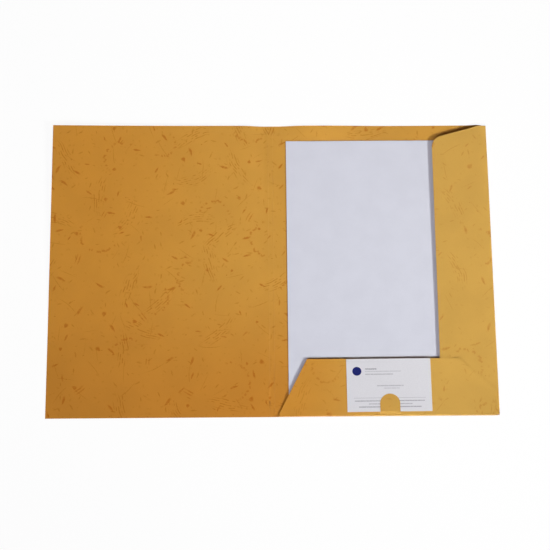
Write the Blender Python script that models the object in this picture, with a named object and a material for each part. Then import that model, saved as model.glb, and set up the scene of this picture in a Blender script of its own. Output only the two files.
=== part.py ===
"""A presentation folder of patterned board, lying open and flat, with a document and a business card in its pocket.

Metres, +Z up. X runs across the open folder, from the front cover to the back cover, and Y runs up the pages.
The origin is on the surface that the folder lies on, midway across the spine and midway up it.
The folder is folded from one die-cut board. Each panel between two creases is its own object.
"""

import math

import bmesh
import bpy
from mathutils import Vector

# Board and creases
board_thickness = 0.00035
crease_slot = 0.0003            # slot between two panels, centred on their crease
layer_gap = 0.0003              # air between pieces that lie on each other

# Covers and spine, measured between creases and outer edges
cover_width = 0.225
cover_height = 0.315
spine_width = 0.005

# Side flap, folded in from the back cover's long edge
side_flap_width = 0.0575
side_flap_slant = math.radians(16)      # how far its top edge drops towards the document
side_flap_corner_radius = 0.013
side_flap_foot_inset = 0.0012           # its lower end stops short of the bottom crease

# Bottom flap, folded up over the side flap and glued to it
pocket_height = 0.0587
pocket_start = 0.0028                   # from the spine's right crease to the flap's lower left corner
pocket_left_slope = 0.030               # sideways run of the slanted left edge
pocket_right_inset = 0.0015             # from the side crease to the flap's right edge
chamfer_width = 0.037
chamfer_height = 0.0325

# Glue between the two flaps
glue_thickness = 0.0001
glue_width = 0.012
glue_length = 0.020
glue_inset = 0.008                      # from the bottom flap's right edge

# Tongue cut in the bottom flap, which holds the card's lower edge
tongue_centre = 0.1155                  # from the spine's right crease
tongue_width = 0.020
tongue_length = 0.020
tongue_root_inset = 0.002               # from the bottom crease
tongue_cut = 0.0003                     # width of the die's cut round it
tongue_ramp_slope = math.radians(45)

# Loose contents
sheet_width = 0.210
sheet_height = 0.297
sheet_stack_thickness = 0.0005
sheet_clearance = 0.0004                # from the stack's edges to the two gussets
card_width = 0.085
card_height = 0.055
card_thickness = 0.0003
card_turn = math.radians(0.35)
card_shift = -0.0006                    # the card's middle from the tongue's middle

arc_steps = 10

# Creases, on the inner face of the board, and the levels of the layers
spine_crease = spine_width / 2
free_edge = spine_crease + cover_width
side_crease = free_edge - board_thickness
bottom_crease = -cover_height / 2 + board_thickness
top_edge = cover_height / 2
inner_face = board_thickness

card_stack = layer_gap + card_thickness + layer_gap + board_thickness
side_gusset_height = spine_width - layer_gap - card_stack - board_thickness - layer_gap - board_thickness
bottom_gusset_height = side_gusset_height + board_thickness + layer_gap
side_flap_level = inner_face + side_gusset_height
bottom_flap_level = inner_face + bottom_gusset_height
card_level = bottom_flap_level + board_thickness + layer_gap
tongue_level = card_level + card_thickness + layer_gap

pocket_left = spine_crease + pocket_start
pocket_right = side_crease - pocket_right_inset
pocket_top = bottom_crease + pocket_height
tongue_x = spine_crease + tongue_centre
tongue_root = bottom_crease + tongue_root_inset
tongue_rise = tongue_level - bottom_flap_level
tongue_ramp = tongue_rise / math.tan(tongue_ramp_slope)
half_slot = crease_slot / 2


def clear_scene():
    for item in list(bpy.data.objects):
        bpy.data.objects.remove(item)


def make_material(name, colour, roughness):
    material = bpy.data.materials.new(name)
    material.use_nodes = True
    shader = material.node_tree.nodes["Principled BSDF"]
    shader.inputs["Base Color"].default_value = (*colour, 1.0)
    shader.inputs["Roughness"].default_value = roughness
    shader.inputs["Metallic"].default_value = 0.0
    return material


def link_object(name, mesh, material=None):
    item = bpy.data.objects.new(name, mesh)
    bpy.context.scene.collection.objects.link(item)
    if material:
        item.data.materials.append(material)
    return item


def add_thickness(item, thickness):
    """Thickens a sheet whose faces look up, from its own level upwards."""
    solidify = item.modifiers.new("thickness", "SOLIDIFY")
    solidify.thickness = thickness
    solidify.offset = 1.0
    solidify.use_even_offset = True


def make_plate(name, outline, level, thickness, material=None):
    """A flat panel: an outline in plan, anticlockwise, thickened upwards from its level."""
    shape = bmesh.new()
    shape.faces.new([shape.verts.new((x, y, level)) for x, y in outline])
    mesh = bpy.data.meshes.new(name)
    shape.to_mesh(mesh)
    shape.free()
    item = link_object(name, mesh, material)
    add_thickness(item, thickness)
    return item


def rectangle(left, right, low, high):
    return [(left, low), (right, low), (right, high), (left, high)]


def fillet(before, corner, after, radius):
    """Points of the arc that rounds a corner between two straight edges."""
    corner = Vector(corner)
    to_before = (Vector(before) - corner).normalized()
    to_after = (Vector(after) - corner).normalized()
    half_angle = to_before.angle(to_after) / 2
    centre = corner + (to_before + to_after).normalized() * (radius / math.sin(half_angle))
    start = corner + to_before * (radius / math.tan(half_angle)) - centre
    turn = start.angle_signed(corner + to_after * (radius / math.tan(half_angle)) - centre)
    points = []
    for step in range(arc_steps + 1):
        angle = -turn * step / arc_steps
        x = start.x * math.cos(angle) - start.y * math.sin(angle)
        y = start.x * math.sin(angle) + start.y * math.cos(angle)
        points.append((centre.x + x, centre.y + y))
    return points


def make_front_cover(material):
    outline = rectangle(-free_edge, -spine_crease - half_slot, -top_edge, top_edge)
    return make_plate("front_cover", outline, 0.0, board_thickness, material)


def make_spine(material):
    reach = spine_crease - half_slot
    return make_plate("spine", rectangle(-reach, reach, -top_edge, top_edge), 0.0, board_thickness, material)


def make_back_cover(material):
    outline = rectangle(spine_crease + half_slot, side_crease - half_slot, bottom_crease + half_slot, top_edge)
    return make_plate("back_cover", outline, 0.0, board_thickness, material)


def make_side_gusset(material):
    """The narrow wall that joins the back cover's long edge to the side flap."""
    outline = rectangle(side_crease, side_crease + board_thickness, bottom_crease + half_slot, top_edge)
    level = inner_face + half_slot
    return make_plate("side_gusset", outline, level, side_gusset_height - crease_slot, material)


def make_bottom_gusset(material):
    """The narrow wall that joins the back cover's lower edge to the bottom flap."""
    outline = rectangle(pocket_left, pocket_right, bottom_crease - board_thickness, bottom_crease)
    level = inner_face + half_slot
    return make_plate("bottom_gusset", outline, level, bottom_gusset_height - crease_slot, material)


def make_side_flap(material):
    right = side_crease - half_slot
    left = side_crease - side_flap_width
    foot = bottom_crease + side_flap_foot_inset
    corner = (left, top_edge - (right - left) * math.tan(side_flap_slant))
    top_right = (right, top_edge)
    foot_left = (left, foot)
    outline = [foot_left, (right, foot), top_right]
    outline += fillet(top_right, corner, foot_left, side_flap_corner_radius)
    return make_plate("side_flap", outline, side_flap_level, board_thickness, material)


def tongue_half_width(distance, widen=0.0):
    """Half the tongue's width at a distance from its root: straight sides and a round end."""
    radius = tongue_width / 2 + widen
    past = distance - (tongue_length - tongue_width / 2)
    return radius if past <= 0 else math.sqrt(max(radius * radius - past * past, 0.0))


def tongue_outline(widen):
    """The tongue in plan, or the slot round it when widened, anticlockwise from its root."""
    centre = tongue_root + tongue_length - tongue_width / 2
    radius = tongue_width / 2 + widen
    points = [(tongue_x - radius, tongue_root), (tongue_x + radius, tongue_root)]
    for step in range(2 * arc_steps + 1):
        angle = math.pi * step / (2 * arc_steps)
        points.append((tongue_x + radius * math.cos(angle), centre + radius * math.sin(angle)))
    return points


def make_bottom_flap(material):
    low = bottom_crease + half_slot
    outline = [
        (pocket_left, low),
        (pocket_right, low),
        (pocket_right, pocket_top - chamfer_height),
        (pocket_right - chamfer_width, pocket_top),
        (pocket_left + pocket_left_slope, pocket_top),
    ]
    flap = make_plate("bottom_flap", outline, bottom_flap_level, board_thickness, material)
    cutter = make_plate("tongue_slot_cutter", tongue_outline(tongue_cut), bottom_flap_level - board_thickness,
                        3 * board_thickness)
    cutter.hide_render = True
    cutter.display_type = "WIRE"
    slot = flap.modifiers.new("tongue slot", "BOOLEAN")
    slot.operation = "DIFFERENCE"
    slot.solver = "EXACT"
    slot.object = cutter
    return flap


def make_card_tongue(material):
    """The tongue, bent up at its root so that it lies over the card."""
    round_start = tongue_length - tongue_width / 2
    stations = [crease_slot, tongue_ramp, round_start]
    stations += [round_start + tongue_width / 2 * math.sin(math.pi / 2 * step / arc_steps)
                 for step in range(1, arc_steps)]
    shape = bmesh.new()
    rows = []
    for distance in stations:
        lift = tongue_rise * min(distance / tongue_ramp, 1.0)
        reach = tongue_half_width(distance)
        rows.append([shape.verts.new((tongue_x + side * reach, tongue_root + distance, bottom_flap_level + lift))
                     for side in (-1, 1)])
    for lower, upper in zip(rows, rows[1:]):
        shape.faces.new((lower[0], lower[1], upper[1], upper[0]))
    tip = shape.verts.new((tongue_x, tongue_root + tongue_length, tongue_level))
    shape.faces.new((rows[-1][0], rows[-1][1], tip))
    mesh = bpy.data.meshes.new("card_tongue")
    shape.to_mesh(mesh)
    shape.free()
    tongue = link_object("card_tongue", mesh, material)
    add_thickness(tongue, board_thickness)
    return tongue


def make_pocket_glue(material):
    """The patch of glue between the side flap and the bottom flap, beside the chamfer."""
    right = pocket_right - glue_inset
    high = pocket_top - chamfer_height
    level = side_flap_level + board_thickness + (layer_gap - glue_thickness) / 2
    outline = rectangle(right - glue_width, right, high - glue_length, high)
    return make_plate("pocket_glue", outline, level, glue_thickness, material)


def make_document(material):
    """A thin stack of plain sheets, pushed into the corner of the pocket."""
    right = side_crease - sheet_clearance
    low = bottom_crease + sheet_clearance
    outline = rectangle(right - sheet_width, right, low, low + sheet_height)
    return make_plate("document", outline, inner_face + layer_gap, sheet_stack_thickness, material)


def make_business_card(material):
    """The card, whose lower edge is tucked under the tongue."""
    outline = rectangle(-card_width / 2, card_width / 2, -card_height / 2, card_height / 2)
    card = make_plate("business_card", outline, 0.0, card_thickness, material)
    seat = tongue_root + tongue_ramp + layer_gap
    card.location = (tongue_x + card_shift, seat + card_height / 2, card_level)
    card.rotation_euler = (0.0, 0.0, card_turn)
    return card


def main():
    clear_scene()
    board = make_material("board", (0.52, 0.25, 0.045), 0.6)
    paper = make_material("paper", (0.75, 0.75, 0.80), 0.7)
    card = make_material("card", (0.80, 0.80, 0.82), 0.55)
    glue = make_material("glue", (0.75, 0.70, 0.55), 0.3)
    make_front_cover(board)
    make_spine(board)
    make_back_cover(board)
    make_side_gusset(board)
    make_side_flap(board)
    make_bottom_gusset(board)
    make_bottom_flap(board)
    make_card_tongue(board)
    make_pocket_glue(glue)
    make_document(paper)
    make_business_card(card)


main()
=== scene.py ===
import math

import bmesh
import bpy
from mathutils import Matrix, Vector


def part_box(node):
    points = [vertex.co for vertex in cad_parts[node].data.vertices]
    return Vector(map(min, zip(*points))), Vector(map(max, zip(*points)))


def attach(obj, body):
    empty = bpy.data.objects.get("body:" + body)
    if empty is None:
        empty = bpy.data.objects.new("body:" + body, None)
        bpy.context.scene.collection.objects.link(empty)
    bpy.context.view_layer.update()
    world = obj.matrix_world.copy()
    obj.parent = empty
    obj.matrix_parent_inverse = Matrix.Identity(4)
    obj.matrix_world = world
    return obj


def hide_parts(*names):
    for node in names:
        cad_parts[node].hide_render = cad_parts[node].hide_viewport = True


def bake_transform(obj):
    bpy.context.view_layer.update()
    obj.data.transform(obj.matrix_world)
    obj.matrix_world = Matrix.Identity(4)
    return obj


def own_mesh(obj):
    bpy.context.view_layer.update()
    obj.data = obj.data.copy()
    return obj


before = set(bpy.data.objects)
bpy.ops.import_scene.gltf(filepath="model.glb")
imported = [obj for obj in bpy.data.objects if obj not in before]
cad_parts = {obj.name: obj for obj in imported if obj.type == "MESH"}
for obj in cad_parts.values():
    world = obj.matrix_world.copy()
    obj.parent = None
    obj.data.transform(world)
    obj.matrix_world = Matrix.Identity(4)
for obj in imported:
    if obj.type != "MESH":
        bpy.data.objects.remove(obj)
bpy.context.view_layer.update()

mm = 0.001
hairline = 0.01 * mm    # places closer together than this count as one
scene = bpy.context.scene
print("frame loaded, nodes:", len(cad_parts))


# Small modelling helpers

def clamped(value):
    return min(max(value, 0.0), 1.0)


def ease(start, end, value):  # 0 before start, 1 after end, a soft step between
    share = clamped((value - start) / (end - start))
    return share * share * (3 - 2 * share)


def deselectAll():
    bpy.ops.object.select_all(action="DESELECT")


def makeActive(piece):
    deselectAll()
    piece.select_set(True)
    bpy.context.view_layer.objects.active = piece


def startEdit(piece, mode):
    makeActive(piece)
    bpy.ops.object.mode_set(mode="EDIT")
    bpy.ops.mesh.select_mode(type=mode)
    bpy.ops.mesh.select_all(action="DESELECT")


def stopEdit():
    bpy.ops.object.mode_set(mode="OBJECT")


def applyPlace():
    bpy.ops.object.transform_apply(location=True, rotation=True, scale=True)


def pick(piece, kind, test):  # selects the edges or faces whose middle passes the test
    shape = bmesh.from_edit_mesh(piece.data)
    for item in getattr(shape, kind):
        middle = sum((corner.co for corner in item.verts), Vector()) / len(item.verts)
        item.select_set(test(middle))
    bmesh.update_edit_mesh(piece.data)


def addSheet(name, left, right, low, high, level, step):  # a flat grid that is bent and thickened later
    deselectAll()
    bpy.ops.mesh.primitive_grid_add(
        x_subdivisions=max(1, round((right - left) / step)),
        y_subdivisions=max(1, round((high - low) / step)),
        size=1, location=((left + right) / 2, (low + high) / 2, level))
    sheet = bpy.context.active_object
    sheet.name = sheet.data.name = name
    sheet.scale = (right - left, high - low, 1)
    applyPlace()
    return sheet


def cutLine(piece, point, across, clear=False):  # a straight cut in plan, which may drop what is beyond it
    startEdit(piece, "EDGE")
    bpy.ops.mesh.select_all(action="SELECT")
    bpy.ops.mesh.bisect(plane_co=(point[0], point[1], 0), plane_no=(across[0], across[1], 0),
                        clear_outer=clear, threshold=0.001 * mm)
    stopEdit()


def moveEdge(piece, test, offset):  # extrudes the picked open edges
    startEdit(piece, "EDGE")
    pick(piece, "edges", test)
    bpy.ops.mesh.extrude_region_move(TRANSFORM_OT_translate={"value": offset})
    stopEdit()


def roundFold(piece, test, radius, segments):  # turns a sharp fold into a rounded one
    startEdit(piece, "EDGE")
    pick(piece, "edges", test)
    bpy.ops.mesh.bevel(offset=radius, segments=segments, affect="EDGES")
    stopEdit()


def mapBlank(piece, placeOnBlank):  # writes where each corner lies on the flat board before folding
    layer = piece.data.uv_layers[0]
    layer.name = "blank"
    for loop in piece.data.loops:
        layer.data[loop.index].uv = placeOnBlank(piece.data.vertices[loop.vertex_index].co)


def reshape(piece, rule):  # moves each point to where the rule puts it
    for vertex in piece.data.vertices:
        vertex.co = rule(vertex.co)
    piece.data.update()


def thicken(piece, thickness, offset, coats):  # coats: upper face, cut edge and underside, or one for all
    for coat in coats:
        piece.data.materials.append(coat)
    makeActive(piece)
    wall = piece.modifiers.new("thickness", "SOLIDIFY")
    wall.thickness = thickness
    wall.offset = offset
    wall.use_even_offset = True
    wall.material_offset_rim = min(1, len(coats) - 1)
    wall.material_offset = len(coats) - 1
    bpy.ops.object.modifier_apply(modifier=wall.name)


def cutWith(piece, cutter, operation):  # uses the cutter up
    makeActive(piece)
    cut = piece.modifiers.new("cut", "BOOLEAN")
    cut.operation = operation
    cut.solver = "EXACT"
    cut.object = cutter
    bpy.ops.object.modifier_apply(modifier=cut.name)
    bpy.data.objects.remove(cutter)


def finishPiece(piece, nodes, body=None):  # smooths it and puts it in the place of its nodes
    makeActive(piece)
    bpy.ops.object.shade_smooth_by_angle(angle=math.radians(35))
    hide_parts(*nodes)
    if body:
        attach(piece, body)


# Shader helpers

def addNode(tree, kind, **settings):
    node = tree.nodes.new(kind)
    for name, value in settings.items():
        setattr(node, name, value)
    return node


def feed(tree, socket, source):  # a link from another node's output, or a plain value
    if isinstance(source, bpy.types.NodeSocket):
        tree.links.new(source, socket)
    else:
        socket.default_value = source


def feedAll(tree, node, values):
    for socket, value in zip(node.inputs, values):
        feed(tree, socket, value)
    return node.outputs[0]


def calc(tree, operation, *values):
    return feedAll(tree, addNode(tree, "ShaderNodeMath", operation=operation), values)


def product(tree, first, *others):
    for other in others:
        first = calc(tree, "MULTIPLY", first, other)
    return first


def apart(tree, first, second):  # how far two values lie from each other
    return calc(tree, "ABSOLUTE", calc(tree, "SUBTRACT", first, second))


def hypot(tree, x, y):
    return calc(tree, "SQRT", calc(tree, "ADD", product(tree, x, x), product(tree, y, y)))


def vectorCalc(tree, operation, *values):
    return feedAll(tree, addNode(tree, "ShaderNodeVectorMath", operation=operation), values)


def scaled(tree, vector, factor):
    node = addNode(tree, "ShaderNodeVectorMath", operation="SCALE")
    feed(tree, node.inputs[0], vector)
    feed(tree, node.inputs["Scale"], factor)
    return node.outputs[0]


def fade(tree, value, start, end, low=0.0, high=1.0):  # a soft step of a value
    node = addNode(tree, "ShaderNodeMapRange", interpolation_type="SMOOTHSTEP")
    feedAll(tree, node, (value, start, end, low, high))
    return node.outputs["Result"]


def within(tree, value, full, gone):  # 1 up to the first limit and 0 past the second
    return fade(tree, value, full, gone, 1.0, 0.0)


def noise(tree, place, scale, detail=3.0, roughness=0.5):
    node = addNode(tree, "ShaderNodeTexNoise", noise_dimensions="3D")
    for name, value in (("Vector", place), ("Scale", scale), ("Detail", detail), ("Roughness", roughness)):
        feed(tree, node.inputs[name], value)
    return node.outputs


def grain(tree, place, scale, detail=3.0, roughness=0.5):
    return noise(tree, place, scale, detail, roughness)["Fac"]


def mixColour(tree, share, first, second):
    node = addNode(tree, "ShaderNodeMix", data_type="RGBA")
    for index, source in ((0, share), (6, first), (7, second)):
        feed(tree, node.inputs[index], source)
    return node.outputs[2]


def joined(tree, x, y, z=0.0):
    return feedAll(tree, addNode(tree, "ShaderNodeCombineXYZ"), (x, y, z))


def split(tree, vector):
    node = addNode(tree, "ShaderNodeSeparateXYZ")
    feed(tree, node.inputs[0], vector)
    return node.outputs


def objectPlace(tree):
    return addNode(tree, "ShaderNodeTexCoord").outputs["Object"]


def addRelief(tree, shader, height, strength, depth=0.1 * mm):
    relief = addNode(tree, "ShaderNodeBump")
    relief.inputs["Strength"].default_value = strength
    relief.inputs["Distance"].default_value = depth
    tree.links.new(height, relief.inputs["Height"])
    tree.links.new(relief.outputs[0], shader.inputs["Normal"])


def showMixed(tree, share, first, second, output):  # the second shader in this share, the first in the rest
    mix = addNode(tree, "ShaderNodeMixShader")
    feedAll(tree, mix, (share, first.outputs[0], second.outputs[0]))
    tree.links.new(mix.outputs[0], tree.nodes[output].inputs["Surface"])


def makeMaterial(name):
    material = bpy.data.materials.new(name)
    material.use_nodes = True
    return material, material.node_tree, material.node_tree.nodes["Principled BSDF"]


def setSurface(shader, roughness=None, specular=0.5):
    shader.inputs["Metallic"].default_value = 0.0
    shader.inputs["IOR"].default_value = 1.45
    shader.inputs["Specular IOR Level"].default_value = specular
    if roughness is not None:
        shader.inputs["Roughness"].default_value = roughness


def colour(red, green, blue):  # a display colour, 0 to 255, as the shader's linear one
    linear = []
    for value in (red / 255, green / 255, blue / 255):
        linear.append(value / 12.92 if value <= 0.04045 else ((value + 0.055) / 1.055) ** 2.4)
    return (*linear, 1.0)


# The printed board: a warm gold ground under scattered leaf-like flecks, hairs and specks. Here and
# below, grains, clouds, fibres, streaks, tooth and pulp are given as counts in a metre

boardLook = {
    "gold": colour(202, 149, 65),
    "amber": colour(203, 141, 55),
    # straw is a painted sheen and ember a painted shade, both laid on by the drifts below
    "strawPaintedSheen": colour(202, 159, 78),
    "emberPaintedShade": colour(198, 133, 51),
    "clouds": 22.0,
    "unevenness": 0.035,
    "rust": colour(168, 84, 0),
    "olive": colour(163, 92, 0),
    "raggedGrain": 750.0,
    "raggedness": 1.1 * mm,       # how far the marks' outlines wander
    "inkGrain": 320.0,
    "thinInk": 0.45,              # the share of its strength that the ink keeps where it is thinnest
    "fibres": 900.0,
    "fibreStretch": 2.2,
    "fibreTint": 0.10,
    "roughness": 0.45,
    "roughnessSwing": 0.06,
    "bump": 0.06,
    "bumpDepth": 0.4 * mm,
}

# The face that lies inside carries more marks than the outer one, which the flaps show. Each drift takes
# the ground to another colour, as painted light and shade: 0 across the sheet or 1 up it, where it starts
# and where it ends. The inner face is painted lighter towards the spine and the right and painted darker
# towards the bottom; the outer face is painted paler towards the right, a painted sheen on the flaps
boardFaces = {
    "innerFace": {
        "crowding": 0.78,
        "strength": 0.95,
        "at": (0.0, 0.0, 0.0),
        "ground": "amber",
        # painted light towards the spine and right, painted shade towards the bottom
        "paintedLightDrifts": [(0, -200 * mm, -10 * mm, "gold"), (1, 10 * mm, -150 * mm, "emberPaintedShade")],
    },
    "outerFace": {
        "crowding": 1.0,
        "strength": 0.65,
        "at": (0.53, 0.71, 0.0),
        "ground": "amber",
        # painted sheen towards the right
        "paintedLightDrifts": [(0, 15 * mm, 150 * mm, "strawPaintedSheen")],
    },
}

# Each kind of mark sits on its own net of cells. "long" and "wide" are half sizes, and a "gap" parts
# a mark into two
inkLayers = {
    "fleck": {"cell": 33 * mm, "share": 0.68, "long": 4.8 * mm, "wide": 1.25 * mm, "taper": 0.4, "bend": 30,
              "gap": 0, "ink": "rust", "strength": 0.72, "at": (3.1, 1.7)},
    "blot": {"cell": 54 * mm, "share": 0.55, "long": 2.9 * mm, "wide": 2.2 * mm, "taper": 0.6, "bend": 0,
             "gap": 0, "ink": "rust", "strength": 0.72, "at": (7.3, 5.2)},
    "pair": {"cell": 64 * mm, "share": 0.5, "long": 5.6 * mm, "wide": 0.75 * mm, "taper": 0.3, "bend": 12,
             "gap": 1.5 * mm, "ink": "rust", "strength": 0.55, "at": (8.6, 2.2)},
    "chip": {"cell": 16 * mm, "share": 0.45, "long": 3.2 * mm, "wide": 0.75 * mm, "taper": 0.3, "bend": 40,
             "gap": 0, "ink": "olive", "strength": 0.5, "at": (2.4, 8.8)},
    "dab": {"cell": 9 * mm, "share": 0.4, "long": 1.8 * mm, "wide": 1.0 * mm, "taper": 0.2, "bend": 0,
            "gap": 0, "ink": "olive", "strength": 0.2, "at": (5.6, 2.9)},
    "speck": {"cell": 27 * mm, "share": 0.3, "long": 0.9 * mm, "wide": 0.5 * mm, "taper": 0.0, "bend": 0,
              "gap": 0, "ink": "olive", "strength": 0.75, "at": (1.2, 7.7)},
    "hair": {"cell": 34 * mm, "share": 0.7, "long": 12.0 * mm, "wide": 0.36 * mm, "taper": 0.2, "bend": 12,
             "gap": 0, "ink": "olive", "strength": 0.5, "at": (9.2, 4.1)},
}
strokeLook = {"smallest": 0.6, "sizeSpread": 0.6, "solidTo": 0.5, "goneBy": 1.15}
bundleLook = {
    "cell": 76 * mm,
    "share": 0.8,
    "long": 25 * mm,
    "wide": 7.5 * mm,
    "solidTo": 0.6,
    "bend": 14,
    "spacing": 2.4 * mm,
    "thread": 0.46 * mm,
    "driftGrain": 55.0,
    "driftStretch": 0.4,
    "drift": 2.5,                 # how many spacings a thread wanders at most
    "dashGrain": 150.0,
    "dashFade": (0.46, 0.56),
    "strength": 0.62,
    "at": (4.7, 3.3),
}
garlandLook = {
    "cell": 105 * mm,
    "share": 0.85,
    "radius": 17 * mm,
    "smallest": 0.8,
    "sizeSpread": 0.4,
    "sway": 0.4,
    "swayPace": 2.2,
    "swayScale": 2.0,
    "thread": 1.3 * mm,
    "dashPace": 5.0,
    "dashFade": (0.45, 0.55),
    "arc": (1.35, 1.6),           # half its angle, in radians, where it starts and ends fading
    "strength": 0.55,
    "at": (6.1, 9.4),
}
creasePaleLook = {"width": 0.5 * mm, "strength": 0.06, "pale": colour(222, 184, 118)}


def markFrame(tree, place, look, crowding):  # the nearest mark's own axes and three random numbers
    cell = look["cell"] * crowding
    moved = vectorCalc(tree, "ADD", place, (look["at"][0], look["at"][1], 0.0))
    onNet = scaled(tree, moved, 1 / cell)
    net = addNode(tree, "ShaderNodeTexVoronoi", voronoi_dimensions="2D", feature="F1")
    net.inputs["Scale"].default_value = 1.0
    tree.links.new(onNet, net.inputs["Vector"])
    local = scaled(tree, vectorCalc(tree, "SUBTRACT", onNet, net.outputs["Position"]), cell)
    chance = split(tree, net.outputs["Color"])
    turn = addNode(tree, "ShaderNodeVectorRotate", rotation_type="Z_AXIS")
    tree.links.new(local, turn.inputs["Vector"])
    tree.links.new(calc(tree, "MULTIPLY", chance[0], 2 * math.pi), turn.inputs["Angle"])
    axes = split(tree, turn.outputs[0])
    return axes[0], axes[1], chance


def bowed(tree, x, y, chance, bend):  # y measured from a curve through the mark's middle
    bow = calc(tree, "MULTIPLY", calc(tree, "SUBTRACT", chance[2], 0.5), 2 * bend)
    return calc(tree, "ADD", y, calc(tree, "MULTIPLY", bow, product(tree, x, x)))


def inked(tree, chance, look, *masks):  # the masks' product, in the share of cells that hold a mark
    shown = calc(tree, "LESS_THAN", chance[1], look["share"])
    return product(tree, *masks, shown, look["strength"])


def inkStroke(tree, place, look, crowding):
    x, y, chance = markFrame(tree, place, look, crowding)
    y = bowed(tree, x, y, chance, look["bend"])
    if look["gap"]:
        y = calc(tree, "SUBTRACT", calc(tree, "ABSOLUTE", y), look["gap"])
    size = calc(tree, "MULTIPLY_ADD", chance[2], strokeLook["sizeSpread"], strokeLook["smallest"])
    along = calc(tree, "DIVIDE", calc(tree, "DIVIDE", x, look["long"]), size)
    width = product(tree, calc(tree, "MULTIPLY_ADD", along, -look["taper"], 1.0), look["wide"])
    across = calc(tree, "DIVIDE", y, product(tree, width, size))
    body = within(tree, hypot(tree, along, across), strokeLook["solidTo"], strokeLook["goneBy"])
    return inked(tree, chance, look, body)


def hairBundle(tree, place, look, crowding):  # a patch of thin dashed threads that run side by side
    x, y, chance = markFrame(tree, place, look, crowding)
    y = bowed(tree, x, y, chance, look["bend"])
    away = hypot(tree, calc(tree, "DIVIDE", x, look["long"]), calc(tree, "DIVIDE", y, look["wide"]))
    patch = within(tree, away, look["solidTo"], 1.0)
    driftPlace = joined(tree, x, product(tree, y, look["driftStretch"]), chance[0])
    drift = grain(tree, driftPlace, look["driftGrain"], 1.0)
    rows = calc(tree, "ADD", calc(tree, "DIVIDE", y, look["spacing"]), product(tree, drift, look["drift"]))
    fromThread = apart(tree, calc(tree, "FRACT", rows), 0.5)
    half = look["thread"] / look["spacing"]
    thread = within(tree, fromThread, 0.5 * half, 1.5 * half)
    dashPlace = joined(tree, product(tree, x, look["dashGrain"]), calc(tree, "FLOOR", rows), chance[2])
    dash = fade(tree, grain(tree, dashPlace, 1.0, 1.0), *look["dashFade"])
    return inked(tree, chance, look, patch, thread, dash)


def garland(tree, place, look, crowding):  # short flecks strung along a bow
    x, y, chance = markFrame(tree, place, look, crowding)
    size = calc(tree, "MULTIPLY_ADD", chance[2], look["sizeSpread"], look["smallest"])
    angle = calc(tree, "ARCTAN2", y, x)
    swayPlace = joined(tree, product(tree, angle, look["swayPace"]), chance[2], 0.0)
    sway = calc(tree, "SUBTRACT", grain(tree, swayPlace, look["swayScale"], 1.0), 0.5)
    sway = product(tree, sway, look["sway"] * look["radius"])
    line = calc(tree, "ADD", product(tree, size, look["radius"]), sway)
    fromLine = apart(tree, hypot(tree, x, y), line)
    ring = within(tree, fromLine, 0.4 * look["thread"], 1.2 * look["thread"])
    dashPlace = joined(tree, product(tree, angle, look["dashPace"]), chance[0], chance[2])
    dash = fade(tree, grain(tree, dashPlace, 1.0, 1.0), *look["dashFade"])
    arc = within(tree, calc(tree, "ABSOLUTE", angle), *look["arc"])
    return inked(tree, chance, look, ring, dash, arc)


def creasePaleLines(tree, blankPlace, creases):  # paler lines along the board's creases and folds
    axes = split(tree, blankPlace)
    paleness = 0.0
    for axis, position in creases:
        line = within(tree, apart(tree, axes[axis], position), 0.2 * creasePaleLook["width"], creasePaleLook["width"])
        paleness = calc(tree, "MAXIMUM", paleness, line)
    return paleness


def boardGround(tree, onBlank, blank, look):  # drifts of painted light and shade, with slow clouds over them
    axes = split(tree, onBlank)
    ground = boardLook[look["ground"]]
    # each drift paints light or shade into the ground
    for axis, start, end, tone in look["paintedLightDrifts"]:
        ground = mixColour(tree, fade(tree, axes[axis], start, end), ground, boardLook[tone])
    cloud = grain(tree, blank, boardLook["clouds"], 4.0, 0.55)
    uneven = boardLook["unevenness"]
    return scaled(tree, ground, fade(tree, cloud, 0.3, 0.7, 1 - uneven, 1 + uneven))


def inkMasks(tree, blank, crowding):  # where each ink lies
    wander = noise(tree, blank, boardLook["raggedGrain"], 2.0)["Color"]
    offset = scaled(tree, vectorCalc(tree, "SUBTRACT", wander, (0.5, 0.5, 0.5)), boardLook["raggedness"])
    place = vectorCalc(tree, "ADD", blank, offset)
    masks = {"rust": 0.0, "olive": 0.0}
    marks = [(layer["ink"], inkStroke(tree, place, layer, crowding)) for layer in inkLayers.values()]
    marks.append(("olive", hairBundle(tree, blank, bundleLook, crowding)))
    marks.append(("rust", garland(tree, place, garlandLook, crowding)))
    for ink, mark in marks:
        masks[ink] = calc(tree, "MAXIMUM", masks[ink], mark)
    return masks


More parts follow.
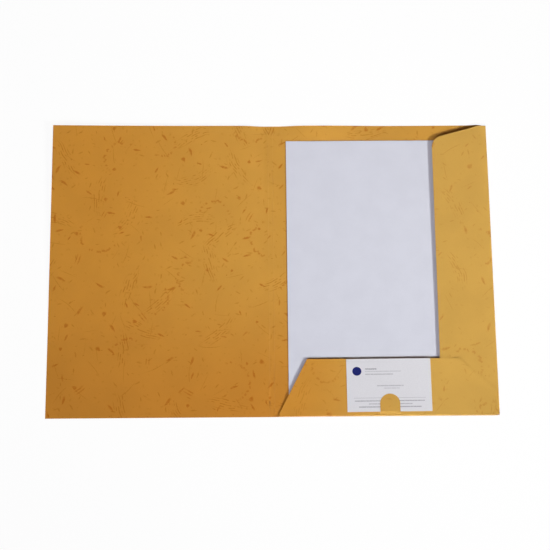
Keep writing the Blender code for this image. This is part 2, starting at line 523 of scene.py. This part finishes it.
def makeBoardMaterial(name, look, creases):
    material, tree, shader = makeMaterial(name)
    onBlank = addNode(tree, "ShaderNodeUVMap", uv_map="blank").outputs[0]
    blank = vectorCalc(tree, "ADD", onBlank, look["at"])
    ground = boardGround(tree, onBlank, blank, look)
    stretched = vectorCalc(tree, "MULTIPLY", blank, (1.0, boardLook["fibreStretch"], 1.0))
    fibre = grain(tree, stretched, boardLook["fibres"], 3.0, 0.6)
    tint = fade(tree, fibre, 0.35, 0.75, 0.0, boardLook["fibreTint"])
    ground = mixColour(tree, tint, ground, boardLook["olive"])
    strength = look["strength"]
    inkGrain = grain(tree, blank, boardLook["inkGrain"], 2.0)
    cover = fade(tree, inkGrain, 0.25, 0.65, boardLook["thinInk"] * strength, strength)
    for ink, mask in inkMasks(tree, blank, look["crowding"]).items():
        ground = mixColour(tree, product(tree, mask, cover), ground, boardLook[ink])
    paledShare = product(tree, creasePaleLines(tree, onBlank, creases), creasePaleLook["strength"])
    ground = mixColour(tree, paledShare, ground, creasePaleLook["pale"])
    tree.links.new(ground, shader.inputs["Base Color"])
    roughness = boardLook["roughness"]
    swing = boardLook["roughnessSwing"]
    gloss = fade(tree, fibre, 0.2, 0.8, roughness - swing, roughness + swing)
    tree.links.new(gloss, shader.inputs["Roughness"])
    addRelief(tree, shader, fibre, boardLook["bump"], boardLook["bumpDepth"])
    setSurface(shader)
    return material


cutEdgeLook = {
    # darker than the faces: partly the dyed board's own tone, partly painted shade along the cut edges
    "coreWithPaintedShade": colour(176, 124, 58),
    "pulp": 2500.0,
    "relief": 0.3,
    "roughness": 0.85,
    "specular": 0.3,
}


def makeCutEdgeMaterial():  # the dyed pulp where the board is cut, its darker tone partly the board's own and partly painted shade
    material, tree, shader = makeMaterial("boardCutEdge")
    pulp = grain(tree, objectPlace(tree), cutEdgeLook["pulp"], 3.0, 0.7)
    tone = mixColour(tree, fade(tree, pulp, 0.3, 0.7), cutEdgeLook["coreWithPaintedShade"], boardLook["gold"])
    tree.links.new(tone, shader.inputs["Base Color"])
    addRelief(tree, shader, pulp, cutEdgeLook["relief"])
    setSurface(shader, cutEdgeLook["roughness"], cutEdgeLook["specular"])
    return material


paperLook = {
    "white": colour(209, 210, 221),
    "shade": colour(205, 206, 217),
    "clouds": 40.0,
    "fibres": 1400.0,
    "fibreStretch": 1.8,
    "fibreShare": 0.4,
    "relief": 0.08,
    "roughness": 0.75,
    "specular": 0.3,
}


def makePaperMaterial():
    material, tree, shader = makeMaterial("officePaper")
    place = objectPlace(tree)
    cloud = grain(tree, place, paperLook["clouds"])
    stretched = vectorCalc(tree, "MULTIPLY", place, (1.0, paperLook["fibreStretch"], 1.0))
    fibre = grain(tree, stretched, paperLook["fibres"], 3.0, 0.65)
    share = paperLook["fibreShare"]
    tone = calc(tree, "ADD", product(tree, cloud, 1 - share), product(tree, fibre, share))
    white = mixColour(tree, fade(tree, tone, 0.35, 0.65), paperLook["shade"], paperLook["white"])
    tree.links.new(white, shader.inputs["Base Color"])
    addRelief(tree, shader, fibre, paperLook["relief"])
    setSurface(shader, paperLook["roughness"], paperLook["specular"])
    return material


cardLook = {
    "white": colour(215, 214, 219),
    "grey": colour(128, 126, 138),
    "tooth": 900.0,
    "toothTint": 0.06,
    "navy": colour(28, 38, 104),
    "discCentre": (-32.0 * mm, 14.6 * mm),
    "discRadius": 4.6 * mm,
    "discEdge": 0.1 * mm,
    "roughness": 0.45,
    "specular": 0.4,
    "lineEnd": 0.4 * mm,
    "breakGrain": 620.0,
    "breakStretch": 3.0,
    "ruleUpTo": 0.2 * mm,         # a line thinner than this is a rule, and the others are broken up
    "lines": [  # left end, right end, height above the card's middle and half thickness in mm, strength
        (-24.0, -12.0, 16.8, 0.65, 0.85),
        (-24.0, 12.5, 14.3, 0.45, 0.40),
        (-24.0, 4.6, 11.3, 0.55, 0.55),
        (-12.5, 14.8, -0.7, 0.60, 0.50),
        (-5.5, 10.7, -3.3, 0.50, 0.38),
        (-36.0, 36.5, -13.3, 0.14, 0.80),
        (-35.0, 35.5, -16.4, 0.55, 0.70),
        (-21.0, 23.0, -19.5, 0.50, 0.60),
        (-31.0, 32.0, -22.6, 0.55, 0.75),
    ],
}


def printedLines(tree, x, y):  # broken grey bars and one thin rule
    place = joined(tree, x, product(tree, y, cardLook["breakStretch"]))
    breaks = fade(tree, grain(tree, place, cardLook["breakGrain"], 1.0), 0.36, 0.46, 0.35, 1.0)
    end = cardLook["lineEnd"]
    bars = 0.0
    for *places, strength in cardLook["lines"]:
        left, right, height, half = [place * mm for place in places]
        inside = product(tree, fade(tree, x, left, left + end), within(tree, x, right - end, right))
        row = within(tree, apart(tree, y, height), 0.6 * half, 1.3 * half)
        bar = product(tree, inside, row, strength)
        if half > cardLook["ruleUpTo"]:
            bar = product(tree, bar, breaks)
        bars = calc(tree, "MAXIMUM", bars, bar)
    return bars


def makeCardMaterial(centre, turn):
    material, tree, shader = makeMaterial("printedCard")
    place = objectPlace(tree)
    own = addNode(tree, "ShaderNodeMapping", vector_type="TEXTURE")
    own.inputs["Location"].default_value = centre
    own.inputs["Rotation"].default_value = (0.0, 0.0, turn)
    tree.links.new(place, own.inputs["Vector"])
    x, y, z = split(tree, own.outputs[0])
    faceUp = calc(tree, "GREATER_THAN", z, 0.0)
    tooth = fade(tree, grain(tree, place, cardLook["tooth"]), 0.3, 0.7, 0.0, cardLook["toothTint"])
    stock = mixColour(tree, tooth, cardLook["white"], cardLook["grey"])
    face = mixColour(tree, product(tree, printedLines(tree, x, y), faceUp), stock, cardLook["grey"])
    fromDisc = vectorCalc(tree, "SUBTRACT", joined(tree, x, y), (*cardLook["discCentre"], 0.0))
    length = addNode(tree, "ShaderNodeVectorMath", operation="LENGTH")
    tree.links.new(fromDisc, length.inputs[0])
    inner = cardLook["discRadius"] - cardLook["discEdge"]
    outer = cardLook["discRadius"] + cardLook["discEdge"]
    disc = within(tree, length.outputs["Value"], inner, outer)
    face = mixColour(tree, product(tree, disc, faceUp), face, cardLook["navy"])
    tree.links.new(face, shader.inputs["Base Color"])
    setSurface(shader, cardLook["roughness"], cardLook["specular"])
    return material


glueLook = {
    "pale": colour(226, 214, 176),
    "dark": colour(206, 190, 146),
    "streaks": 500.0,
    "streakStretch": 0.3,
    "relief": 0.3,
    "roughness": 0.3,
}


def makeGlueMaterial():
    material, tree, shader = makeMaterial("driedGlue")
    stretch = (1.0, glueLook["streakStretch"], 1.0)
    stretched = vectorCalc(tree, "MULTIPLY", objectPlace(tree), stretch)
    streak = grain(tree, stretched, glueLook["streaks"])
    tree.links.new(mixColour(tree, streak, glueLook["pale"], glueLook["dark"]), shader.inputs["Base Color"])
    addRelief(tree, shader, streak, glueLook["relief"])
    setSurface(shader, glueLook["roughness"])
    return material


# Sizes of the folder, read from the frame

coverLow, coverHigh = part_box("front_cover")
spineLow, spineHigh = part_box("spine")
sideLow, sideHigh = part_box("side_flap")
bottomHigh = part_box("bottom_flap")[1]
wallLow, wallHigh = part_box("side_gusset")
frontWallLow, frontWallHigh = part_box("bottom_gusset")
sheetLow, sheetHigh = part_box("document")
cardLow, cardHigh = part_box("business_card")

boardThickness = spineHigh.z - spineLow.z
outerX = wallHigh.x          # outside of the right-hand fold
outerY = frontWallLow.y      # outside of the lower fold
topY = coverHigh.y
creaseX = 2.5 * mm           # from the spine's middle to each crease

creaseLines = [  # on the flat board: 0 for a crease at an x, 1 for one at a y, and where it lies
    (0, -creaseX),
    (0, creaseX),
    (0, outerX),
    (0, outerX + sideHigh.z),
    (1, outerY),
    (1, outerY - bottomHigh.z),
]
innerFace, outerFace = [makeBoardMaterial(name, look, creaseLines) for name, look in boardFaces.items()]
cutEdge = makeCutEdgeMaterial()
coverCoats = [innerFace, cutEdge, outerFace]
flapCoats = [outerFace, cutEdge, innerFace]
paperMaterial = makePaperMaterial()
print("materials made")


# Front cover, which rises a little towards its free corner

coverShape = {
    "seam": 6 * mm,               # from the spine's middle to where the cover's own sheet starts
    "step": 4.5 * mm,
    "nearSpine": 2.7 * mm,        # how far the far end rises beside the spine
    "spineReach": 14 * mm,
    "corner": 4.8 * mm,           # how much further its free corner rises
    "cornerPower": 1.8,
    "flatUpTo": -75 * mm,
    "upPower": 1.1,
}


def coverLift(x, y):
    up = max((y - coverShape["flatUpTo"]) / (topY - coverShape["flatUpTo"]), 0.0)
    fromSeam = max(-coverShape["seam"] - x, 0.0)
    share = fromSeam / (-coverShape["seam"] - coverLow.x)
    rise = coverShape["nearSpine"] * (1 - math.exp(-(fromSeam / coverShape["spineReach"]) ** 2))
    rise += coverShape["corner"] * share ** coverShape["cornerPower"]
    return rise * up ** coverShape["upPower"]


def makeFrontCover():
    seam = -coverShape["seam"]
    cover = addSheet("frontCover", coverLow.x, seam, coverLow.y, coverHigh.y, 0, coverShape["step"])
    mapBlank(cover, lambda co: (co.x, co.y))
    reshape(cover, lambda co: (co.x, co.y, co.z + coverLift(co.x, co.y)))
    thicken(cover, boardThickness, 1, coverCoats)
    finishPiece(cover, ["front_cover"], "front_half")
    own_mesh(cover)


# Spine: two creases, each a low scored bead

creaseShape = {
    "step": 6 * mm,
    "bead": 0.05 * mm,
    "beadWidth": 0.9 * mm,
    "cuts": 8,                    # on each side of the bead's middle
    "cutSpacing": 0.14 * mm,
    "bendStart": 1.8 * mm,
    "bendEnd": 3.2 * mm,
}


def beadHeight(x):
    away = abs(abs(x) - creaseX) / (creaseShape["beadWidth"] / 2)
    return creaseShape["bead"] * (1 - ease(0, 1, away))


def makeCrease(name, left, right):
    strip = addSheet(name, left, right, spineLow.y, spineHigh.y, 0, creaseShape["step"])
    middle = creaseX if left >= 0 else -creaseX
    for cut in range(-creaseShape["cuts"], creaseShape["cuts"] + 1):
        cutLine(strip, (middle + cut * creaseShape["cutSpacing"], 0), (1, 0))
    mapBlank(strip, lambda co: (co.x, co.y))
    thicken(strip, boardThickness, 1, coverCoats)
    reshape(strip, lambda co: (co.x, co.y, co.z + (beadHeight(co.x) if co.z > boardThickness / 2 else 0)))
    finishPiece(strip, ["spine"])
    return strip


def makeSpine():
    leftCrease = makeCrease("leftCrease", -coverShape["seam"], 0.0)
    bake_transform(leftCrease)
    rightCrease = makeCrease("rightCrease", 0.0, coverShape["seam"])
    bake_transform(rightCrease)


# Back cover, with a low ripple in the bare strip above the document

backShape = {
    "step": 4.5 * mm,
    "bump": 2.2 * mm,
    "risesFrom": 6 * mm,
    "risesTo": 36 * mm,
    "fallsFrom": 46 * mm,
    "fallsTo": 130 * mm,
    "stripTop": 19 * mm,          # how much of the far end takes part
    "farBump": 1.5 * mm,          # a second, shorter rise beside the right-hand fold
    "farAt": 218 * mm,
    "farReach": 7 * mm,
    "draw": 1.0 * mm,             # how far the top end is drawn in where it turns over at the right-hand fold
    "drawAcross": 9 * mm,
    "drawAlong": 10 * mm,
}


def cornerDraw(x, y):
    across = ease(outerX - backShape["drawAcross"], outerX, x)
    return backShape["draw"] * across * ease(topY - backShape["drawAlong"], topY, y)


def backLift(x, y):
    along = ease(backShape["risesFrom"], backShape["risesTo"], x)
    along *= 1 - ease(backShape["fallsFrom"], backShape["fallsTo"], x)
    far = backShape["farBump"] * math.exp(-((x - backShape["farAt"]) / backShape["farReach"]) ** 2)
    return (backShape["bump"] * along + far) * ease(topY - backShape["stripTop"], topY, y)


def makeBackCover():
    seam = coverShape["seam"]
    cover = addSheet("backCover", seam, wallLow.x, frontWallHigh.y, topY, 0, backShape["step"])
    mapBlank(cover, lambda co: (co.x, co.y))
    reshape(cover, lambda co: (co.x, co.y - cornerDraw(co.x, co.y), co.z + backLift(co.x, co.y)))
    thicken(cover, boardThickness, 1, coverCoats)
    finishPiece(cover, ["back_cover"], "pocket_half")
    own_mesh(cover)


# Flaps. Each is one sheet with its narrow wall, folded down to the back cover's edge

flapShape = {
    "step": 3 * mm,
    "foot": 0.5 * mm,             # how far its hidden end stops short of the lower fold
    "foldRadius": 0.45 * mm,
    "foldSegments": 4,
    "foldCuts": (1 * mm, 2 * mm, 4.5 * mm, 7.5 * mm),
    "turnIn": 1.2 * mm,           # how wide the strip is that is turned in under the wall
    "turnInTop": 0.2 * mm,        # up to this height a point belongs to that strip
    "arch": 1.9 * mm,             # how far it stands up beside its fold, at its top end
    "archLow": 0.9 * mm,          # and where the pocket starts
    "archReach": 4 * mm,
    "pressedFrom": -98 * mm,
    "pressedTo": -131 * mm,
    "cornerRadius": 13 * mm,
    "cornerCuts": 12,
    "slant": math.radians(16),
    "sunk": 1.5 * mm,             # how far the fold itself is pressed down at its top end
    "sunkReach": 5 * mm,
    "sinksFrom": 100 * mm,
}
pocketShape = {
    "step": 2 * mm,
    "foldCuts": (1 * mm, 2 * mm),
    "pressed": 2.2 * mm,          # how far its left end is pressed down
    "pressReach": 26 * mm,
    "pressHeight": 50 * mm,
    "leftTop": 35.3 * mm,
    "chamferLeft": 188.65 * mm,
    "chamferLow": -130.95 * mm,
    "raiseFrom": 161 * mm,
    "raiseTo": 172 * mm,
    "hug": 0.25 * mm,             # how close the glue draws it to the side flap
    "ridge": 0.45 * mm,           # the edge of the glued flap shows through along the chamfer
    "ridgeReach": 4 * mm,
}
chamferRun = frontWallHigh.x - pocketShape["chamferLeft"]
chamferRise = bottomHigh.y - pocketShape["chamferLow"]


def archHeight(y):  # how far the side flap stands above its fold
    upper = ease(flapShape["pressedFrom"], topY, y)
    lower = 1.0
    if y < flapShape["pressedFrom"]:
        lower -= ease(flapShape["pressedFrom"], flapShape["pressedTo"], y)
    return (flapShape["archLow"] + (flapShape["arch"] - flapShape["archLow"]) * upper) * lower


def archedRise(x, y):
    fromFold = max(outerX - x, 0.0)
    return archHeight(y) * (1 - math.exp(-fromFold / flapShape["archReach"]))


def sideRise(x, y):  # near its top end the fold itself is pressed flat
    fromFold = max(outerX - x, 0.0)
    sinking = flapShape["sunk"] * ease(flapShape["sinksFrom"], topY, y)
    return archedRise(x, y) - sinking * math.exp(-(fromFold / flapShape["sunkReach"]) ** 2)


def chamferDistance(x, y):
    across = (x - frontWallHigh.x) * chamferRise + (y - pocketShape["chamferLow"]) * chamferRun
    return abs(across) / math.hypot(chamferRun, chamferRise)


def pocketRise(x, y):
    raised = archedRise(x, y) - pocketShape["hug"]
    raised *= ease(pocketShape["raiseFrom"], pocketShape["raiseTo"], x)
    pressed = math.exp(-((x - frontWallLow.x) / pocketShape["pressReach"]) ** 2)
    pressed *= 1 - ease(0, pocketShape["pressHeight"], y - outerY)
    ridge = pocketShape["ridge"] * math.exp(-(chamferDistance(x, y) / pocketShape["ridgeReach"]) ** 2)
    return raised + ridge - pocketShape["pressed"] * pressed


def liftFold(co, rise, top):  # a wall grows or shrinks with the flap that it carries
    return (co.x, co.y - cornerDraw(co.x, co.y), co.z + rise * min(co.z / top, 1.0))


def trimCorner(piece, corner, before, after, radius):  # rounds a corner in plan with a fan of short cuts
    turnFrom = math.atan2(before[1], before[0])
    turnTo = math.atan2(after[1], after[0])
    half = (turnTo - turnFrom) / 2
    middle = turnFrom + half
    reach = radius / math.cos(half)
    centre = (corner[0] - reach * math.cos(middle), corner[1] - reach * math.sin(middle))
    for cut in range(1, flapShape["cornerCuts"]):
        angle = turnFrom + (turnTo - turnFrom) * cut / flapShape["cornerCuts"]
        across = (math.cos(angle), math.sin(angle))
        cutLine(piece, (centre[0] + radius * across[0], centre[1] + radius * across[1]), across, clear=True)


def foldWall(flap, atFold, inwards, top):  # a wall down from the fold, and a narrow strip turned in under it
    moveEdge(flap, atFold, (0, 0, -top))
    moveEdge(flap, lambda co: co.z < hairline, flapShape["turnIn"] * Vector((*inwards, 0)))
    roundFold(flap, lambda co: atFold(co) and not hairline < co.z < top - hairline,
              flapShape["foldRadius"], flapShape["foldSegments"])


def sideOnBlank(co):  # the wall and the flap, unrolled past the right-hand fold
    return (outerX + co.z + (outerX - co.x) if co.z > flapShape["turnInTop"] else co.x, co.y)


def bottomOnBlank(co):  # and past the lower one
    return (co.x, outerY - co.z - (co.y - outerY) if co.z > flapShape["turnInTop"] else co.y)


def makeSideFlap():
    top = sideHigh.z
    flap = addSheet("sideFlap", sideLow.x, outerX, outerY + flapShape["foot"], topY, top, flapShape["step"])
    slant = flapShape["slant"]
    across = (-math.sin(slant), math.cos(slant))
    cutLine(flap, (sideHigh.x, topY), across, clear=True)
    corner = (sideLow.x, topY - (sideHigh.x - sideLow.x) * math.tan(slant))
    trimCorner(flap, corner, across, (-1.0, 0.0), flapShape["cornerRadius"])
    for distance in flapShape["foldCuts"]:
        cutLine(flap, (outerX - distance, 0), (1, 0))
    foldWall(flap, lambda co: co.x > outerX - hairline, (-1, 0), top)
    mapBlank(flap, sideOnBlank)
    reshape(flap, lambda co: liftFold(co, sideRise(co.x, co.y), top))
    thicken(flap, boardThickness, -1, flapCoats)
    finishPiece(flap, ["side_gusset", "side_flap"], "pocket_half")


tongueShape = {
    "centre": 118.0 * mm,
    "root": 1.4 * mm,             # from the lower fold
    "radius": 10 * mm,
    "length": 20.95 * mm,
    "cut": 0.1 * mm,
    "ramp": 2.35 * mm,
    "aboveFlap": 0.75 * mm,
    "droop": 0.25 * mm,
    "step": 0.8 * mm,
    "margin": 1 * mm,             # how far its sheet reaches past the outline before it is cut out
    "facets": 72,
    "cutterHeight": 20 * mm,
}
tongueRoot = outerY + tongueShape["root"]


def makeTongueCutter(name, widen):  # a round-ended block that stands on the tongue's root
    radius = tongueShape["radius"] + widen
    middle = tongueRoot + tongueShape["length"] - tongueShape["radius"]
    deselectAll()
    bpy.ops.mesh.primitive_cylinder_add(vertices=tongueShape["facets"], radius=radius,
                                        depth=tongueShape["cutterHeight"],
                                        location=(tongueShape["centre"], middle, bottomHigh.z))
    cutter = bpy.context.active_object
    cutter.name = name
    applyPlace()
    startEdit(cutter, "FACE")
    bpy.ops.mesh.select_all(action="SELECT")
    bpy.ops.mesh.bisect(plane_co=(0, middle, 0), plane_no=(0, -1, 0), clear_outer=True, use_fill=True)
    bpy.ops.mesh.select_all(action="DESELECT")
    pick(cutter, "faces", lambda co: abs(co.y - middle) < hairline)
    bpy.ops.mesh.extrude_region_move(TRANSFORM_OT_translate={"value": (0, tongueRoot - middle, 0)})
    stopEdit()
    for coat in flapCoats:
        cutter.data.materials.append(coat)
    for face in cutter.data.polygons:
        face.material_index = 1
    return cutter


def makeBottomFlap():
    top = bottomHigh.z
    left = frontWallLow.x
    flap = addSheet("bottomFlap", left, frontWallHigh.x, outerY, bottomHigh.y, top, pocketShape["step"])
    leftRun = pocketShape["leftTop"] - left
    leftRise = bottomHigh.y - outerY
    cutLine(flap, (left, outerY), (-leftRise, leftRun), clear=True)
    cutLine(flap, (frontWallHigh.x, pocketShape["chamferLow"]), (chamferRise, chamferRun), clear=True)
    for distance in pocketShape["foldCuts"]:
        cutLine(flap, (0, outerY + distance), (0, 1))
    foldWall(flap, lambda co: co.y < outerY + hairline, (0, 1), top)
    mapBlank(flap, bottomOnBlank)
    reshape(flap, lambda co: liftFold(co, pocketRise(co.x, co.y), top))
    thicken(flap, boardThickness, -1, flapCoats)
    cutWith(flap, makeTongueCutter("tongueSlot", tongueShape["cut"]), "DIFFERENCE")
    finishPiece(flap, ["bottom_gusset", "bottom_flap"], "pocket_half")


def tongueRise(y):  # a straight ramp up from the root, then a slight droop to the tip
    bent = tongueRoot + tongueShape["ramp"]
    up = tongueShape["aboveFlap"] * clamped((y - tongueRoot) / (bent - tongueRoot))
    return up - tongueShape["droop"] * ease(bent, tongueRoot + tongueShape["length"], y)


def makeTongue():
    margin = tongueShape["margin"]
    centre = tongueShape["centre"]
    reach = tongueShape["radius"] + margin
    end = tongueRoot + tongueShape["length"]
    tongue = addSheet("cardTongue", centre - reach, centre + reach, tongueRoot - margin, end + margin,
                      bottomHigh.z - boardThickness, tongueShape["step"])
    mapBlank(tongue, lambda co: (co.x, outerY - bottomHigh.z - (co.y - outerY)))
    reshape(tongue, lambda co: (co.x, co.y, co.z + tongueRise(co.y)))
    thicken(tongue, boardThickness, 1, flapCoats)
    cutWith(tongue, makeTongueCutter("tongueOutline", 0.0), "INTERSECT")
    finishPiece(tongue, ["card_tongue"], "pocket_half")


# Loose sheets and the card

stackShape = {"sheets": 4, "gap": 0.03 * mm, "step": 7 * mm, "stray": 0.25 * mm, "turn": 0.00045}
cardShape = {
    "width": 85 * mm,
    "height": 55 * mm,
    "turn": math.radians(0.35),
    "step": 5 * mm,
    "settled": 0.25 * mm,         # how far it sinks on to the flap
}


def strayed(co, middle, turn, shift):
    x = co.x - middle.x
    y = co.y - middle.y
    return (middle.x + x - turn * y + shift.x, middle.y + y + turn * x + shift.y, co.z)


def makeDocument():  # sines of a sheet's number stand in for chance
    pitch = (sheetHigh.z - sheetLow.z) / stackShape["sheets"]
    middle = (sheetLow + sheetHigh) / 2
    for number in range(stackShape["sheets"]):
        sheet = addSheet(f"documentSheet{number + 1}", sheetLow.x, sheetHigh.x, sheetLow.y, sheetHigh.y,
                         sheetLow.z + number * pitch, stackShape["step"])
        turn = stackShape["turn"] * math.sin(2.4 * number + 0.6)
        shift = stackShape["stray"] * Vector((math.sin(1.9 * number), math.cos(2.7 * number + 0.4)))
        reshape(sheet, lambda co: strayed(co, middle, turn, shift))
        thicken(sheet, pitch - stackShape["gap"], 1, [paperMaterial])
        finishPiece(sheet, ["document"], "loose_sheets")


def makeCard():
    middle = (cardLow + cardHigh) / 2
    card = addSheet("businessCard", -cardShape["width"] / 2, cardShape["width"] / 2,
                    -cardShape["height"] / 2, cardShape["height"] / 2, 0, cardShape["step"])
    turn = cardShape["turn"]
    level = cardLow.z - cardShape["settled"]
    reshape(card, lambda co: (middle.x + co.x * math.cos(turn) - co.y * math.sin(turn),
                              middle.y + co.x * math.sin(turn) + co.y * math.cos(turn), level))
    middle.z -= cardShape["settled"]
    thicken(card, cardHigh.z - cardLow.z, 1, [makeCardMaterial((middle.x, middle.y, middle.z), turn)])
    finishPiece(card, ["business_card"], "loose_card")


makeFrontCover()
makeSpine()
makeBackCover()
print("covers and spine made")
makeSideFlap()
makeBottomFlap()
makeTongue()
print("pocket made")
makeDocument()
makeCard()
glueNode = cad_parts["pocket_glue"]
glueNode.data.materials.clear()
glueNode.data.materials.append(makeGlueMaterial())
print("contents made")


# Floor, light and camera

floorLook = {
    "reach": 6.0,
    "below": 0.1 * mm,
    "colour": (0.92, 0.92, 0.92, 1),
    "roughness": 0.9,
    "glow": 0.93,
}


def makeFloor():
    deselectAll()
    bpy.ops.mesh.primitive_plane_add(size=floorLook["reach"], location=(0, 0, -floorLook["below"]))
    floor = bpy.context.active_object
    floor.name = "floor"
    material, tree, shader = makeMaterial("paleFloor")
    shader.inputs["Base Color"].default_value = floorLook["colour"]
    shader.inputs["Roughness"].default_value = floorLook["roughness"]
    shader.inputs["Specular IOR Level"].default_value = 0.0
    white = addNode(tree, "ShaderNodeEmission")
    white.inputs["Strength"].default_value = 1.0
    ray = addNode(tree, "ShaderNodeLightPath").outputs
    mirrored = calc(tree, "MAXIMUM", ray["Is Glossy Ray"], ray["Is Transmission Ray"])
    seen = calc(tree, "MAXIMUM", ray["Is Camera Ray"], mirrored)
    showMixed(tree, product(tree, seen, floorLook["glow"]), shader, white, "Material Output")
    floor.data.materials.append(material)


# Each lamp looks at its aim from a direction and distance. Spread is in degrees, and a lamp that isn't
# mirrored leaves no highlight
lamps = {
    "keyLamp": {
        "towards": (1.19, -0.97, 1.0),
        "distance": 3.5,
        "aim": (0.12, 0.03, 0),
        "size": 0.42,
        "spread": 30,
        "power": 3.4,
        "colour": (0.96, 1.0, 0.96),
        "mirrored": False,
    },
    "poolLamp": {  # its beam is brightest behind the far edge
        "towards": (0.2, -1.2, 1.3),
        "distance": 2.2,
        "aim": (0.1, 0.5, 0),
        "size": 0.5,
        "spread": 32,
        "power": 0.6,
        "colour": (1.0, 1.0, 1.0),
        "mirrored": False,
    },
    "glossLamp": {  # mirrored in the side flap
        "towards": (0.65, 0.418, 1.5),
        "distance": 1.69,
        "aim": (0.2, 0, 0),
        "size": 0.35,
        "spread": 180,
        "power": 1.4,
        "colour": (1.0, 0.58, 0.35),
        "mirrored": True,
    },
    "frontLamp": {
        "towards": (-0.55, -1.5, 1.3),
        "distance": 4.5,
        "aim": (0, 0, 0),
        "size": 1.8,
        "spread": 180,
        "power": 110,
        "colour": (0.84, 0.87, 1.0),
        "mirrored": False,
    },
}


def addLamp(name, look):
    direction = Vector(look["towards"]).normalized()
    deselectAll()
    bpy.ops.object.light_add(type="AREA", location=direction * look["distance"])
    lamp = bpy.context.active_object
    lamp.name = name
    lamp.data.size = look["size"]
    lamp.data.energy = look["power"]
    lamp.data.color = look["colour"]
    lamp.data.spread = math.radians(look["spread"])
    lamp.visible_glossy = look["mirrored"]
    lamp.rotation_euler = (lamp.location - Vector(look["aim"])).to_track_quat("Z", "Y").to_euler()


worldLook = {"colour": (0.035, 0.02, 0.012, 1)}
cameraLook = {
    "place": (-0.0154, -0.6166, 1.8173),
    "turn": (18.535, -0.427, -0.539),
    "lens": 122.2,
    "sensor": 36,
    "nearest": 0.01,
}


def makeWorld():  # it lights the folder dimly, and the camera sees a plain backdrop instead
    world = bpy.data.worlds.new("studio")
    world.use_nodes = True
    tree = world.node_tree
    dim = tree.nodes["Background"]
    dim.inputs["Color"].default_value = worldLook["colour"]
    backdrop = addNode(tree, "ShaderNodeBackground")
    backdrop.inputs["Strength"].default_value = 1.0
    ray = addNode(tree, "ShaderNodeLightPath").outputs
    seen = calc(tree, "MAXIMUM", ray["Is Camera Ray"], ray["Is Transmission Ray"])
    showMixed(tree, seen, dim, backdrop, "World Output")
    scene.world = world


def makeCamera():
    deselectAll()
    turn = [math.radians(angle) for angle in cameraLook["turn"]]
    bpy.ops.object.camera_add(location=cameraLook["place"], rotation=turn)
    camera = bpy.context.active_object
    camera.data.lens = cameraLook["lens"]
    camera.data.sensor_width = cameraLook["sensor"]
    camera.data.clip_start = cameraLook["nearest"]
    scene.camera = camera


makeFloor()
for lampName, lampLook in lamps.items():
    addLamp(lampName, lampLook)
makeWorld()
makeCamera()
scene.view_settings.view_transform = "Standard"
print("stage, lamps and camera made")
